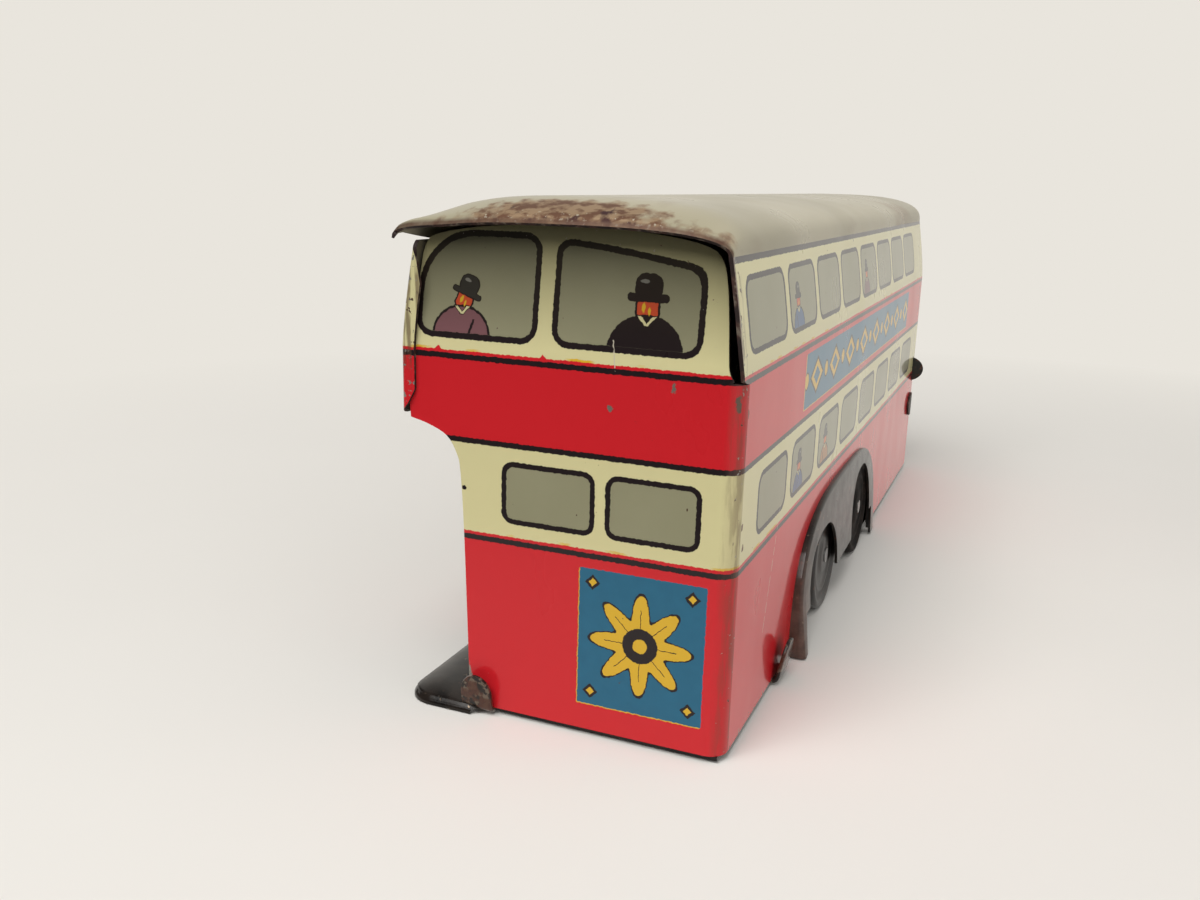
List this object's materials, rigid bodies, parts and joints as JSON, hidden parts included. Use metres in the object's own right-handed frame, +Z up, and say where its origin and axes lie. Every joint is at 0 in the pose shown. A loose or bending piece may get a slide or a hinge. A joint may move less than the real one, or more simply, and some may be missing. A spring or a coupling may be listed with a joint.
{
  "type": "toy bus",
  "caption": "Small clockwork double-deck toy bus of folded printed tinplate, with an open rear platform, wheel spats and wheels that roll.",
  "frame": {"origin": "on the ground under the middle of the bus", "axes": "+X to the front of the bus, +Y to its nearside, +Z up"},
  "size_m": [0.123, 0.0368, 0.0497],
  "materials": {
    "printed_tin": "glossy lithographed print, worn",
    "black_tin": "glossy black paint, worn",
    "wheel_tin": "dull dark paint",
    "steel": "satin",
    "spring_steel": "blued",
    "brass": "dull"
  },
  "bodies": {
    "bus": {"body_shell": "printed_tin", "front_panel": "printed_tin", "base_plate": "black_tin", "offside_spat": "black_tin", "nearside_spat": "black_tin", "motor_plate_offside": "steel", "motor_plate_nearside": "steel", "pillar_rear_upper": "steel", "pillar_front_upper": "steel", "pillar_rear_lower": "steel", "pillar_front_lower": "steel", "spring_pillar": "steel", "mainspring": "spring_steel"},
    "rear_axle_set": {"rear_axle": "steel", "axle_pinion": "brass", "rear_wheel_offside": "wheel_tin", "rear_wheel_nearside": "wheel_tin"},
    "front_axle_set": {"front_axle": "steel", "front_wheel_offside": "wheel_tin", "front_wheel_nearside": "wheel_tin"},
    "second_set": {"second_arbor": "steel", "second_pinion": "brass", "second_wheel": "brass"},
    "great_wheel_set": {"great_wheel": "brass"},
    "winding_set": {"winding_arbor": "steel", "click_washer": "brass"}
  },
  "joints": [
    {"name": "rear_axle_turn", "type": "hinge", "parent": "bus", "child": "rear_axle_set", "pos_m": [-0.0171, 0, 0.0067], "axis": [0, 1, 0], "continuous": true},
    {"name": "front_axle_turn", "type": "hinge", "parent": "bus", "child": "front_axle_set", "pos_m": [0.0061, 0, 0.0067], "axis": [0, 1, 0], "continuous": true},
    {"name": "second_turn", "type": "hinge", "parent": "bus", "child": "second_set", "pos_m": [-0.01445, 0, 0.01467], "axis": [0, 1, 0], "continuous": true},
    {"name": "great_wheel_turn", "type": "hinge", "parent": "bus", "child": "great_wheel_set", "pos_m": [-0.0055, 0, 0.0102], "axis": [0, 1, 0], "continuous": true},
    {"name": "winding_turn", "type": "hinge", "parent": "great_wheel_set", "child": "winding_set", "pos_m": [-0.0055, 0, 0.0102], "axis": [0, 1, 0], "continuous": true}
  ],
  "couplings": [
    {"joint": "second_turn", "follows": "rear_axle_turn", "ratio": -0.3125},
    {"joint": "great_wheel_turn", "follows": "rear_axle_turn", "ratio": 0.078125}
  ]
}
